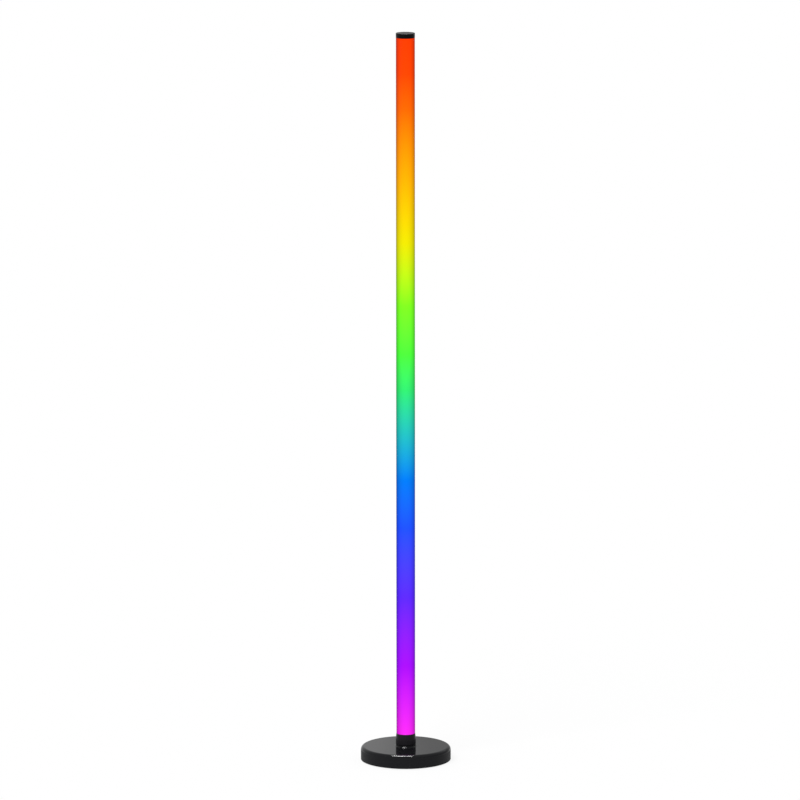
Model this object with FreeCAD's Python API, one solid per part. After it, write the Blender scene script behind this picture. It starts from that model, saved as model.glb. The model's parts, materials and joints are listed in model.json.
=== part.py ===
import FreeCAD, Part
import math
import os
from FreeCAD import Vector

# Corner floor lamp: a weighted round base, a collar and a tall opal tube lit from inside by two
# LED strips on an extruded aluminium core. Millimetres, +Z up the tube, front at -Y, power inlet
# at +Y. The origin is the centre of the foot pad's underside. A diameter is named so, and any
# other size across is a width.

# Whole lamp
total_height = 1400.0
base_diameter = 172.0

# Clearances
slide_clearance = 0.15  # per side, between pieces that push together
screw_clearance = 0.05  # per side, round a screw in its hole
stem_clearance = 0.25  # per side, round the stem where it only passes through

# Foot pad, glued into a groove under the bottom plate
pad_thickness = 2.0
pad_groove_depth = 0.5
pad_inset = 2.95  # from the plate's edge
pad_width = 14.0

# Bottom plate
plate_thickness = 2.5
plate_edge_clearance = 0.25
plate_screw_count = 4
plate_screw_margin = 3.8  # between the pad and the screws' recesses
plate_recess_diameter = 8.4
plate_recess_depth = 1.3
plate_rib_count = 8
plate_rib_width = 1.4
plate_rib_height = 1.2
plate_rib_inset = 18.0  # from the lamp's axis, and half as much from the plate's rim

# Base shell
shell_height = 25.8
shell_wall = 2.8  # beside the plate
ledge_width = 1.4  # the step that the plate closes against
shell_roof = 3.0
shell_edge_radius = 6.4
ring_diameter = 38.8
ring_height = 3.3
ring_edge_chamfer = 0.8
ring_flare = 1.6  # where the ring meets the roof
hub_diameter = 34.0
rib_count = 8
rib_width = 1.6
rib_depth = 2.0
boss_diameter = 8.0
boss_hole_depth = 12.0

# Base weight
weight_clearance = 2.8  # inside the shell's wall
weight_gap = 2.5  # over the bottom plate
weight_thread_length = 8.0
weight_boss_clearance = 0.8
weight_pocket_width = 44.0
weight_pocket_margin = 3.0  # in front of the board
lead_recess_diameter = 18.0
lead_groove_width = 8.0
lead_groove_depth = 3.0

# Stem that clamps collar, shell and weight
stem_diameter = 10.0
stem_bore = 7.5
stem_thread_clearance = 0.1
stem_end_gap = 0.5  # up inside the weight's thread
stem_over_nut = 0.6
washer_diameter = 18.0
washer_thickness = 1.2
nut_width = 14.0  # across flats
nut_height = 4.5

# Collar
collar_height = 21.4
collar_top_diameter = 36.0
collar_widest_diameter = 38.4
collar_taper_height = 9.5
collar_foot_chamfer = 1.8
collar_floor = 5.0
collar_chamber_diameter = 23.0
spigot_height = 4.0
set_screw_diameter = 4.0
set_screw_length = 5.0
set_screw_gap = 0.1  # from its tip to the plug
set_screw_key = 2.0  # hexagon socket, across flats
set_screw_key_depth = 2.0

# Diffuser tube and top cap
tube_diameter = 35.6
tube_wall = 1.8
cap_diameter = 36.0
cap_height = 8.8
cap_roof = 2.5
cap_edge_chamfer = 0.5

# Extruded core
core_width = 17.0
core_depth = 10.0
core_count = 3
channel_depth = 0.8
channel_clearance = 0.2  # per side of the strip
duct_width = 6.4
duct_depth = 5.0
port_diameter = 2.5
port_inset = 2.3  # from the core's side to the port's centre
port_slot_width = 1.4
joiner_length = 60.0
joiner_clearance = 0.1
joiner_screw_step = 16.0  # from the joint
joiner_screw_diameter = 3.0
joiner_screw_head = 5.6
joiner_screw_head_height = 1.0
joiner_screw_length = 5.2

# End plugs of the core
plug_diameter = 25.7
plug_length = 13.0
plug_web = 5.0
plug_seat_gap = 0.4  # over the stem
plug_window_width = 6.4
plug_window_depth = 13.0
plug_head_recess = 2.2
cap_plug_gap = 0.3

# Self-tapping screws: shank diameter, length, head diameter, head height
plate_screw = (3.0, 11.0, 6.0, 1.9)
plug_screw = (2.4, 9.0, 4.4, 1.8)
board_screw = (2.0, 5.0, 3.8, 1.4)

# LED strips
strip_width = 10.0
strip_thickness = 0.3
strip_end_margin = 3.0
led_pitch = 1000.0 / 60
led_width = 5.0
led_height = 1.4

# Clear spacers between core and tube
spacer_count = 3
spacer_height = 4.0
spacer_ring_width = 1.6
spacer_arm_width = 5.0
spacer_tongue_length = 0.8

# Power inlet in the rear of the rim
inlet_recess = 5.6  # from the rim's outside to the socket's face
inlet_hole_diameter = 11.0
inlet_hole_chamfer = 0.8
inlet_width = 9.0
inlet_height = 11.0
inlet_depth = 14.2
inlet_flange = 3.4
inlet_bore = 6.5
inlet_bore_depth = 9.6
inlet_slot_width = 3.2
inlet_slot_depth = 1.0
pin_diameter = 2.0
pin_shank_diameter = 2.6  # where it passes through the housing's rear wall
pin_setback = 0.8  # its tip behind the socket's face
contact_thickness = 0.4
contact_width = 2.8
tab_length = 3.0
tab_width = 2.4
tab_thickness = 0.5
cradle_wall = 1.6
cradle_overhang = 1.5
plate_post_width = 6.0
plate_post_depth = 5.0

# Controller board, hung under the shell's roof with its parts facing down
board_width = 36.0
board_depth = 24.0
board_thickness = 1.6
board_setback = 9.2  # from the inlet's tabs
board_drop = 5.0
board_boss_diameter = 5.6
board_hole_inset = 3.0
part_gap = 1.5  # between neighbours on the board
header_height = 5.0
strip_header_width = 9.0
strip_header_depth = 6.0
strip_header_setback = 6.0
inlet_header_width = 7.0
inlet_header_depth = 6.0
chip_width = 10.0
chip_depth = 4.0
chip_height = 1.5
chip_legs = 8  # on each long side
leg_width = 0.45
leg_reach = 1.0
radio_width = 11.0
radio_depth = 13.0
radio_thickness = 0.8
radio_can_inset = 1.0
radio_can_height = 1.8
capacitor_diameter = 6.3
capacitor_height = 7.0
capacitor_base_height = 0.8
capacitor_inset = 1.2  # from the board's rear edge

# Leads
lead_diameter = 1.3
lead_pitch = 1.5
lead_row_gap = 2.0
lead_bend = 3.0
lead_layers = (1.2, 2.7)  # the front strip's leads and the rear one's, above the bottom plate
lead_end_gap = 0.05
lead_solder_length = 2.5

# Levels from the floor up
plate_bottom_z = pad_thickness - pad_groove_depth
plate_top_z = plate_bottom_z + plate_thickness
shell_top_z = plate_bottom_z + shell_height
shell_inner_z = shell_top_z - shell_roof
rib_bottom_z = shell_inner_z - rib_depth
ring_top_z = shell_top_z + ring_height
weight_bottom_z = plate_top_z + weight_gap
thread_bottom_z = rib_bottom_z - weight_thread_length
inlet_z = (plate_bottom_z + shell_top_z) / 2
board_z = shell_inner_z - board_drop  # top face of the board
board_under_z = board_z - board_thickness
collar_floor_z = ring_top_z + collar_floor
collar_top_z = ring_top_z + collar_height
nut_bottom_z = collar_floor_z + washer_thickness
nut_top_z = nut_bottom_z + nut_height
stem_top_z = nut_top_z + stem_over_nut
stem_bottom_z = thread_bottom_z + stem_end_gap
plug_seat_z = stem_top_z + plug_seat_gap
core_bottom_z = plug_seat_z + plug_web
cap_bottom_z = total_height - cap_height
cap_inner_z = total_height - cap_roof
plug_top_z = cap_inner_z - cap_plug_gap
core_top_z = plug_top_z - plug_web
strip_bottom_z = core_bottom_z + strip_end_margin
strip_top_z = core_top_z - strip_end_margin

# Places across
base_radius = base_diameter / 2
plate_diameter = base_diameter - 2 * (shell_wall + plate_edge_clearance)
cavity_diameter = base_diameter - 2 * (shell_wall + ledge_width)
weight_diameter = cavity_diameter - 2 * weight_clearance
pad_diameter = plate_diameter - 2 * pad_inset
pad_bore = pad_diameter - 2 * pad_width
plate_screw_circle = pad_bore - plate_recess_diameter - 2 * plate_screw_margin
inlet_face_y = base_radius - inlet_recess
inlet_rear_y = inlet_face_y - inlet_depth
board_rear = inlet_rear_y - tab_length - board_setback
board_front = board_rear - board_depth
board_middle = (board_front + board_rear) / 2
tube_bore = tube_diameter - 2 * tube_wall
spigot_diameter = tube_bore - 2 * slide_clearance
plug_bore = plug_diameter + 2 * slide_clearance
port_offset = core_width / 2 - port_inset
channel_width = strip_width + 2 * channel_clearance
channel_floor_y = core_depth / 2 - channel_depth
strip_face_y = channel_floor_y + strip_thickness
core_length = (core_top_z - core_bottom_z) / core_count


def cylinder(diameter, low, high, x=0.0, y=0.0):
    return Part.makeCylinder(diameter / 2, high - low, Vector(x, y, low))


def cylinder_y(diameter, low, high, z, x=0.0):
    return Part.makeCylinder(diameter / 2, high - low, Vector(x, low, z), Vector(0, 1, 0))


def ring(outer, inner, low, high):
    return cylinder(outer, low, high).cut(cylinder(inner, low, high))


def block(width, y_low, y_high, low, high, x=0.0):
    corner = Vector(x - width / 2, y_low, low)
    return Part.makeBox(width, y_high - y_low, high - low, corner)


def joined(shapes):
    return shapes[0].fuse(list(shapes[1:])).removeSplitter()


def group(shapes):
    return Part.makeCompound(list(shapes))


def turned(points):
    """A solid turned round the Z axis from (radius, height) points."""
    outline = Part.makePolygon([Vector(r, 0, z) for r, z in [*points, points[0]]])
    return Part.Face(outline).revolve(Vector(), Vector(0, 0, 1), 360)


def round_edges(shape, height, diameter):
    """The circular edges of that diameter at that height."""
    return [
        edge
        for edge in shape.Edges
        if isinstance(edge.Curve, Part.Circle)
        and abs(edge.Curve.Center.z - height) < 1e-6
        and abs(edge.Curve.Radius - diameter / 2) < 1e-6
    ]


def within(edge, wall):
    """A rounding or a chamfer that its wall has room for."""
    return min(edge, 0.9 * wall)


def on_circle(diameter, count, first_angle):
    """Places evenly round a circle: x, y and the angle in degrees."""
    for k in range(count):
        angle = first_angle + 360.0 * k / count
        turn = math.radians(angle)
        yield diameter / 2 * math.cos(turn), diameter / 2 * math.sin(turn), angle


def plate_screw_places():
    """The screws sit as far from the inlet as the pattern allows."""
    places = on_circle(plate_screw_circle, plate_screw_count, 90.0 + 180.0 / plate_screw_count)
    return [(x, y) for x, y, angle in places]


def board_screw_places():
    """Two opposite corners of the board."""
    side = board_width / 2 - board_hole_inset
    return [(-side, board_front + board_hole_inset), (side, board_rear - board_hole_inset)]


def tapping_screw(sizes, x, y, z):
    """A screw that points up, with the underside of its head at z."""
    shank, length, head, head_height = sizes
    return joined([cylinder(head, z - head_height, z, x, y), cylinder(shank, z, z + length, x, y)])


# Base


def foot_pad():
    return ring(pad_diameter, pad_bore, 0, pad_thickness)


def bottom_plate():
    plate = cylinder(plate_diameter, plate_bottom_z, plate_top_z)
    post_y = inlet_face_y - inlet_depth / 2
    post = block(
        plate_post_width,
        post_y - plate_post_depth / 2,
        post_y + plate_post_depth / 2,
        plate_top_z,
        inlet_z - inlet_height / 2 - slide_clearance,
    )
    plate = joined([plate, post, *plate_ribs()])
    tools = [foot_pad()]
    for x, y in plate_screw_places():
        shank = plate_screw[0] + 2 * screw_clearance
        recess_top = plate_bottom_z + plate_recess_depth
        tools.append(cylinder(shank, plate_bottom_z, plate_top_z, x, y))
        tools.append(cylinder(plate_recess_diameter, plate_bottom_z, recess_top, x, y))
    return plate.cut(tools)


def plate_ribs():
    """Ribs under the weight, between the screws, that leave the leads' way to the stem open."""
    length = plate_diameter / 2 - 1.5 * plate_rib_inset
    corner = Vector(plate_rib_inset, -plate_rib_width / 2, plate_top_z)
    for x, y, angle in on_circle(0, plate_rib_count, 180.0 / plate_rib_count):
        rib = Part.makeBox(length, plate_rib_width, plate_rib_height, corner)
        yield rib.rotate(Vector(), Vector(0, 0, 1), angle)


def bottom_plate_screws():
    z = plate_bottom_z + plate_recess_depth
    return group(tapping_screw(plate_screw, x, y, z) for x, y in plate_screw_places())


def shell_ribs():
    reach = cavity_diameter / 2 + ledge_width / 2
    for x, y, angle in on_circle(0, rib_count, 180.0 / rib_count):
        rib = Part.makeBox(reach, rib_width, rib_depth, Vector(0, -rib_width / 2, rib_bottom_z))
        yield rib.rotate(Vector(), Vector(0, 0, 1), angle)


def inlet_cradle():
    """The walls that hold the socket: a flat seat in front, cheeks, roof and a stop behind it."""
    outer = block(
        inlet_width + 2 * (slide_clearance + cradle_wall),
        inlet_rear_y - slide_clearance - cradle_wall,
        base_radius - shell_wall / 2,
        inlet_z - inlet_height / 2 - cradle_overhang,
        shell_inner_z,
    )
    room = block(
        inlet_width + 2 * slide_clearance,
        inlet_rear_y - slide_clearance,
        inlet_face_y,
        inlet_z - inlet_height / 2 - cradle_overhang,
        inlet_z + inlet_height / 2 + slide_clearance,
    )
    # the stop reaches down only over the top of the socket, clear of its tabs
    behind = block(
        inlet_width + 2 * slide_clearance,
        inlet_rear_y - slide_clearance - cradle_wall,
        inlet_rear_y - slide_clearance,
        inlet_z - inlet_height / 2 - cradle_overhang,
        inlet_z + inlet_height / 4,
    )
    return outer.cut([room, behind])


def base_shell():
    body = cylinder(base_diameter, plate_bottom_z, shell_top_z)
    rim = round_edges(body, shell_top_z, base_diameter)
    body = body.makeFillet(within(shell_edge_radius, shell_height), rim)
    cavity = cylinder(cavity_diameter, plate_bottom_z, shell_inner_z)
    seat = cylinder(plate_diameter + 2 * plate_edge_clearance, plate_bottom_z, plate_top_z)
    shell = body.cut([cavity, seat])
    hub = cylinder(hub_diameter, rib_bottom_z, shell_inner_z)
    bosses = [
        cylinder(boss_diameter, plate_top_z, shell_inner_z, x, y) for x, y in plate_screw_places()
    ]
    board_bosses = [
        cylinder(board_boss_diameter, board_z, shell_inner_z, x, y)
        for x, y in board_screw_places()
    ]
    inside = [hub, *shell_ribs(), *bosses, *board_bosses, inlet_cradle()]
    shell = joined([shell, raised_ring(), *inside])
    return shell.cut(shell_holes())


def raised_ring():
    """The ring under the collar, with a chamfered top and a flared foot."""
    outer = ring_diameter / 2
    chamfer = within(ring_edge_chamfer, ring_height)
    flare = within(ring_flare, ring_height - chamfer)
    return turned(
        [
            (0, shell_inner_z),
            (outer + flare, shell_inner_z),
            (outer + flare, shell_top_z),
            (outer, shell_top_z + flare),
            (outer, ring_top_z - chamfer),
            (outer - chamfer, ring_top_z),
            (0, ring_top_z),
        ]
    )


def shell_holes():
    stem_hole = stem_diameter + 2 * stem_clearance
    holes = [cylinder(stem_hole, rib_bottom_z, ring_top_z)]
    for x, y in plate_screw_places():
        pilot = plate_screw[0] + 2 * screw_clearance
        holes.append(cylinder(pilot, plate_top_z, plate_top_z + boss_hole_depth, x, y))
    for x, y in board_screw_places():
        pilot = board_screw[0] + 2 * screw_clearance
        holes.append(cylinder(pilot, board_z, shell_inner_z, x, y))
    holes.append(
        cylinder_y(inlet_hole_diameter, inlet_face_y, base_radius + inlet_hole_chamfer, inlet_z)
    )
    flare = Part.makeCone(
        inlet_hole_diameter / 2,
        inlet_hole_diameter / 2 + 2 * inlet_hole_chamfer,
        2 * inlet_hole_chamfer,
        Vector(0, base_radius - inlet_hole_chamfer, inlet_z),
        Vector(0, 1, 0),
    )
    holes.append(flare)
    return holes


def base_weight():
    disc = cylinder(weight_diameter, weight_bottom_z, rib_bottom_z)
    thread = stem_diameter + 2 * stem_thread_clearance
    pocket_front = board_front - weight_pocket_margin
    tools = [
        cylinder(thread, weight_bottom_z, rib_bottom_z),
        cylinder(lead_recess_diameter, weight_bottom_z, thread_bottom_z),
        block(weight_pocket_width, pocket_front, base_radius, weight_bottom_z, rib_bottom_z),
        block(
            lead_groove_width,
            0,
            pocket_front,
            weight_bottom_z,
            weight_bottom_z + lead_groove_depth,
        ),
    ]
    hole = boss_diameter + 2 * weight_boss_clearance
    for x, y in plate_screw_places():
        tools.append(cylinder(hole, weight_bottom_z, rib_bottom_z, x, y))
    return disc.cut(tools)


def stem_nipple():
    return ring(stem_diameter, stem_bore, stem_bottom_z, stem_top_z)


def stem_washer():
    hole = stem_diameter + 2 * stem_clearance
    return ring(washer_diameter, hole, collar_floor_z, nut_bottom_z)


def stem_nut():
    corner = nut_width / math.sqrt(3)
    corners = [Vector(x, y, nut_bottom_z) for x, y, angle in on_circle(2 * corner, 6, 0)]
    prism = Part.Face(Part.makePolygon([*corners, corners[0]])).extrude(Vector(0, 0, nut_height))
    thread = cylinder(stem_diameter + 2 * stem_thread_clearance, nut_bottom_z, nut_top_z)
    return prism.cut(thread)


# Power inlet


def inlet_housing():
    top = inlet_z + inlet_height / 2
    bottom = inlet_z - inlet_height / 2
    flange_y = inlet_face_y - inlet_flange
    flange = block(inlet_width, flange_y, inlet_face_y, bottom, top)
    barrel = cylinder_y(inlet_width, inlet_rear_y, flange_y, inlet_z)
    foot = block(inlet_width, inlet_rear_y, flange_y, bottom, inlet_z)
    body = joined([flange, barrel, foot])
    bore = cylinder_y(inlet_bore, inlet_face_y - inlet_bore_depth, inlet_face_y, inlet_z)
    shank_hole = pin_shank_diameter + 2 * screw_clearance
    pin_hole = cylinder_y(shank_hole, inlet_rear_y, inlet_face_y, inlet_z)
    slot = block(
        inlet_slot_width,
        inlet_rear_y,
        flange_y,
        inlet_z - inlet_bore / 2 - inlet_slot_depth,
        inlet_z,
    )
    return body.cut([bore, pin_hole, slot])


def inlet_pin():
    tip_y = inlet_face_y - pin_setback
    floor_y = inlet_face_y - inlet_bore_depth
    pin = cylinder_y(pin_diameter, floor_y, tip_y, inlet_z)
    shank = cylinder_y(pin_shank_diameter, inlet_rear_y, floor_y, inlet_z)
    tab = block(
        tab_width,
        inlet_rear_y - tab_length,
        inlet_rear_y,
        inlet_z - tab_thickness / 2,
        inlet_z + tab_thickness / 2,
    )
    return joined([pin, shank, tab])


def inlet_contact():
    """The sprung leaf under the bore, bent up towards the plug, with its tab behind."""
    low = inlet_z - inlet_bore / 2 - inlet_slot_depth + contact_thickness / 2
    bow = inlet_z - inlet_bore / 2 + contact_thickness / 2
    front = inlet_face_y - inlet_flange - contact_thickness
    crest = front - inlet_bore_depth / 3
    middle = [
        (inlet_rear_y - tab_length, low),
        (crest - inlet_bore_depth / 3, low),
        (crest, bow),
        (front, low),
    ]
    under = [Vector(-contact_width / 2, y, z) for y, z in middle]
    over = [v + Vector(0, 0, contact_thickness) for v in reversed(under)]
    return Part.Face(Part.makePolygon([*under, *over, under[0]])).extrude(
        Vector(contact_width, 0, 0)
    )


# Controller board


def controller_board():
    hole = board_screw[0] + 2 * stem_clearance
    board = block(board_width, board_front, board_rear, board_under_z, board_z)
    return board.cut([cylinder(hole, board_under_z, board_z, x, y) for x, y in board_screw_places()])


def board_screws():
    return group(tapping_screw(board_screw, x, y, board_under_z) for x, y in board_screw_places())


def strip_header_face():
    return board_front + strip_header_setback


def board_headers():
    """The leads' two headers: one opens to the front for the strips, one to the rear."""
    low = board_under_z - header_height
    front = strip_header_face()
    strip_header = block(
        strip_header_width, front, front + strip_header_depth, low, board_under_z
    )
    inlet_header = block(
        inlet_header_width, board_rear - inlet_header_depth, board_rear, low, board_under_z
    )
    return group([strip_header, inlet_header])


def controller_chip():
    """A chip with legs down both long sides, to the left of the strips' header."""
    x = -(strip_header_width / 2 + part_gap + chip_width / 2)
    low = board_under_z - chip_height
    front = board_middle - chip_depth / 2
    body = block(chip_width, front, front + chip_depth, low, board_under_z, x)
    pitch = chip_width / chip_legs
    legs = [
        block(
            leg_width,
            front - leg_reach,
            front + chip_depth + leg_reach,
            board_under_z - leg_width,
            board_under_z,
            x - chip_width / 2 + pitch * (k + 0.5),
        )
        for k in range(chip_legs)
    ]
    return joined([body, *legs])


def radio_module():
    """A small board with a screening can, to the right of the strips' header."""
    x = strip_header_width / 2 + part_gap + radio_width / 2
    front = board_middle - radio_depth / 2
    low = board_under_z - radio_thickness
    card = block(radio_width, front, front + radio_depth, low, board_under_z, x)
    can = block(
        radio_width - 2 * radio_can_inset,
        front + radio_can_inset,
        front + radio_width - radio_can_inset,
        low - radio_can_height,
        low,
        x,
    )
    return joined([card, can])


def board_capacitor():
    """An upright can on a square base, to the left of the inlet's header."""
    half = capacitor_diameter / 2
    x = -(inlet_header_width / 2 + part_gap + half)
    y = board_rear - capacitor_inset - half
    foot_low = board_under_z - capacitor_base_height
    foot = block(capacitor_diameter, y - half, y + half, foot_low, board_under_z, x)
    can_low = board_under_z - capacitor_height
    can = cylinder(capacitor_diameter, can_low, foot_low, x, y)
    return joined([foot, can])


# Leads


def inlet_leads():
    """Two straight round leads from the socket's tabs to the board's rear header."""
    header_z = board_under_z - header_height / 2
    contact_z = inlet_z - inlet_bore / 2 - inlet_slot_depth + contact_thickness
    start_y = inlet_rear_y - tab_length - lead_end_gap
    run = board_rear + lead_end_gap - start_y
    leads = []
    for tab_z, header_row in ((inlet_z, 1), (contact_z, -1)):
        rise = header_z + header_row * lead_pitch / 2 - tab_z
        end = Part.makeCircle(lead_diameter / 2, Vector(0, start_y, tab_z), Vector(0, 1, 0))
        leads.append(Part.Face(Part.Wire(end)).extrude(Vector(0, run, rise)))
    return group(leads)


def bent(section, points):
    """A section swept along straight runs that are joined by tangent arcs."""
    edges = []
    start = points[0]
    for before, corner, after in zip(points, points[1:], points[2:]):
        back = before - corner
        ahead = after - corner
        half_turn = (math.pi - back.getAngle(ahead)) / 2
        if half_turn < 1e-3:
            continue
        room = 0.45 * min(back.Length, ahead.Length)
        bend = min(lead_bend, room / math.tan(half_turn))
        back.normalize()
        ahead.normalize()
        inward = (back + ahead).normalize()
        setback = bend * math.tan(half_turn)
        enter = corner + back * setback
        leave = corner + ahead * setback
        middle = corner + inward * (bend / math.cos(half_turn) - bend)
        edges.append(Part.makeLine(start, enter))
        edges.append(Part.Arc(enter, middle, leave).toShape())
        start = leave
    edges.append(Part.makeLine(start, points[-1]))
    return Part.Wire(edges).makePipeShell([section], True, False)


def strip_leads(side, layer):
    """A flat three-core lead from the board, under the weight and up the stem, to one strip's end.

    side is -1 for the front strip and 1 for the rear one, whose lead comes down later."""
    start_y = strip_header_face() - lead_end_gap
    start_z = board_under_z - header_height / 2 + side * lead_row_gap / 2
    along_z = plate_top_z + layer
    early = lead_row_gap * (1 - side) / 2
    bend_y = start_y - lead_diameter / 2 - (lead_row_gap - early)
    landing_y = board_front - weight_pocket_margin + lead_diameter / 2 + early
    stem_y = side * lead_row_gap / 2
    strip_y = side * (strip_face_y + lead_end_gap + lead_diameter / 2)
    half_width = lead_pitch + lead_diameter / 2
    low = start_z - lead_diameter / 2
    corners = [
        Vector(-half_width, start_y, low),
        Vector(half_width, start_y, low),
        Vector(half_width, start_y, low + lead_diameter),
        Vector(-half_width, start_y, low + lead_diameter),
    ]
    route = [
        Vector(0, start_y, start_z),
        Vector(0, bend_y, start_z),
        Vector(0, landing_y, along_z),
        Vector(0, stem_y, along_z),
        Vector(0, stem_y, stem_top_z),
        Vector(0, strip_y, core_bottom_z - lead_end_gap),
        Vector(0, strip_y, strip_bottom_z + lead_solder_length),
    ]
    return bent(Part.makePolygon([*corners, corners[0]]), route)


# Column


def collar():
    waist = collar_top_diameter / 2
    widest = collar_widest_diameter / 2
    foot = within(collar_foot_chamfer, collar_height - collar_taper_height)
    spigot_top_z = collar_top_z + spigot_height
    body = turned(
        [
            (0, ring_top_z),
            (widest - foot, ring_top_z),
            (widest, ring_top_z + foot),
            (widest, collar_top_z - collar_taper_height),
            (waist, collar_top_z),
            (spigot_diameter / 2, collar_top_z),
            (spigot_diameter / 2, spigot_top_z),
            (0, spigot_top_z),
        ]
    )
    tools = [
        cylinder(stem_diameter + 2 * stem_clearance, ring_top_z, collar_floor_z),
        cylinder(collar_chamber_diameter, collar_floor_z, plug_seat_z),
        cylinder(plug_bore, plug_seat_z, spigot_top_z),
        cylinder_y(
            set_screw_diameter + 2 * screw_clearance, 0, collar_widest_diameter, set_screw_z()
        ),
    ]
    return body.cut(tools)


def set_screw_z():
    return plug_seat_z + plug_web / 2


def collar_set_screw():
    tip_y = plug_diameter / 2 + set_screw_gap
    end_y = tip_y + set_screw_length
    z = set_screw_z()
    screw = cylinder_y(set_screw_diameter, tip_y, end_y, z)
    corners = [
        Vector(x, end_y, z + across)
        for x, across, angle in on_circle(2 * set_screw_key / math.sqrt(3), 6, 0)
    ]
    socket = Part.Face(Part.makePolygon([*corners, corners[0]]))
    return screw.cut(socket.extrude(Vector(0, -set_screw_key_depth, 0)))


def diffuser_tube():
    return ring(tube_diameter, tube_bore, collar_top_z, cap_bottom_z)


def top_cap():
    spigot_bottom_z = cap_bottom_z - spigot_height
    body = cylinder(cap_diameter, cap_bottom_z, total_height)
    rim = round_edges(body, total_height, cap_diameter)
    body = body.makeChamfer(within(cap_edge_chamfer, cap_roof), rim)
    spigot = cylinder(spigot_diameter, spigot_bottom_z, cap_bottom_z)
    return joined([body, spigot]).cut(cylinder(plug_bore, spigot_bottom_z, cap_inner_z))


def core_outline():
    """The core's section: strip channels front and rear, screw ports at the sides, open duct."""
    bar = Part.makePlane(core_width, core_depth, Vector(-core_width / 2, -core_depth / 2, 0))
    openings = [
        Part.makePlane(duct_width, duct_depth, Vector(-duct_width / 2, -duct_depth / 2, 0))
    ]
    for side in (-1, 1):
        floor = min(side * channel_floor_y, side * core_depth / 2)
        corner = Vector(-channel_width / 2, floor, 0)
        openings.append(Part.makePlane(channel_width, channel_depth, corner))
        port = Vector(side * port_offset, 0, 0)
        openings.append(Part.Face(Part.Wire(Part.makeCircle(port_diameter / 2, port))))
        slot_x = min(side * port_offset, side * core_width / 2)
        corner = Vector(slot_x, -port_slot_width / 2, 0)
        openings.append(Part.makePlane(core_width / 2 - port_offset, port_slot_width, corner))
    return bar.cut(openings)


def joint_levels():
    return [core_bottom_z + core_length * k for k in range(1, core_count)]


def joiner_screw_levels():
    """One screw below each joint and one above it."""
    return [z + side * joiner_screw_step for z in joint_levels() for side in (-1, 1)]


def joiner_screw_shape(z, clearance=0.0):
    """A flat-headed screw let into the rear channel's floor, or the room for it."""
    under_head = channel_floor_y - joiner_screw_head_height
    tip = channel_floor_y - joiner_screw_length - clearance
    head = cylinder_y(joiner_screw_head + 2 * clearance, under_head, channel_floor_y, z)
    shank = cylinder_y(joiner_screw_diameter + 2 * clearance, tip, under_head, z)
    return joined([head, shank])


def joiner_screw_tools():
    return [joiner_screw_shape(z, screw_clearance) for z in joiner_screw_levels()]


def core_sections():
    section = core_outline().Faces[0]
    tools = joiner_screw_tools()
    sections = []
    for k in range(core_count):
        bar = section.extrude(Vector(0, 0, core_length))
        bar.translate(Vector(0, 0, core_bottom_z + core_length * k))
        sections.append(bar.cut(tools))
    return sections


def core_joiners():
    width = duct_width - 2 * joiner_clearance
    depth = duct_depth - 2 * joiner_clearance
    return [
        block(
            width, -depth / 2, depth / 2, z - joiner_length / 2, z + joiner_length / 2
        ).cut(joiner_screw_tools())
        for z in joint_levels()
    ]


def joiner_screws():
    return group(joiner_screw_shape(z) for z in joiner_screw_levels())


def core_plug():
    """An end plug as it stands at the bottom: a web under the core and two cheeks beside it."""
    top = plug_seat_z + plug_length
    body = cylinder(plug_diameter, plug_seat_z, top)
    sides = core_width + 2 * slide_clearance
    open_front = channel_width
    half = plug_diameter / 2
    core_room = block(
        sides,
        -core_depth / 2 - slide_clearance,
        core_depth / 2 + slide_clearance,
        core_bottom_z,
        top,
    )
    strip_room = block(open_front, -half, half, core_bottom_z, top)
    window = block(
        plug_window_width, -plug_window_depth / 2, plug_window_depth / 2, plug_seat_z, top
    )
    tools = [core_room, strip_room, window]
    shank, length, head, head_height = plug_screw
    for x in (-port_offset, port_offset):
        tools.append(cylinder(shank + 2 * screw_clearance, plug_seat_z, core_bottom_z, x))
        recess = head + 2 * slide_clearance
        tools.append(cylinder(recess, plug_seat_z, plug_seat_z + plug_head_recess, x))
    return body.cut(tools)


def plug_screw_pair():
    z = plug_seat_z + plug_head_recess
    return group([tapping_screw(plug_screw, x, 0, z) for x in (-port_offset, port_offset)])


def at_top(shape):
    """A lower end piece turned over to the top end."""
    turned_over = shape.copy()
    turned_over.rotate(Vector(), Vector(0, 1, 0), 180)
    turned_over.translate(Vector(0, 0, plug_seat_z + plug_top_z))
    return turned_over


def led_strip(side):
    y = min(side * channel_floor_y, side * strip_face_y)
    return block(strip_width, y, y + strip_thickness, strip_bottom_z, strip_top_z)


def leds(side):
    length = strip_top_z - strip_bottom_z
    count = int(length // led_pitch)
    first = (strip_bottom_z + strip_top_z - led_pitch * (count - 1) - led_width) / 2
    y = min(side * strip_face_y, side * (strip_face_y + led_height))
    return group(
        block(led_width, y, y + led_height, low, low + led_width)
        for low in (first + led_pitch * k for k in range(count))
    )


def tube_spacer(low):
    """A ring that fits the tube, with arms that clip into the slots at the core's sides."""
    high = low + spacer_height
    hoop = ring(spigot_diameter, spigot_diameter - 2 * spacer_ring_width, low, high)
    reach = spigot_diameter / 2 - spacer_ring_width / 2
    arms = [
        block(
            reach - core_width / 2,
            -spacer_arm_width / 2,
            spacer_arm_width / 2,
            low,
            high,
            side * (reach + core_width / 2) / 2,
        )
        for side in (-1, 1)
    ]
    tongue = port_slot_width - 2 * screw_clearance
    tongues = [
        block(
            spacer_tongue_length,
            -tongue / 2,
            tongue / 2,
            low,
            high,
            side * (core_width - spacer_tongue_length) / 2,
        )
        for side in (-1, 1)
    ]
    return joined([hoop, *arms, *tongues])


def tube_spacers():
    step = (core_top_z - core_bottom_z) / (spacer_count + 1)
    lows = [core_bottom_z + step * (k + 1) - spacer_height / 2 for k in range(spacer_count)]
    return group(tube_spacer(low) for low in lows)


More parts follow.
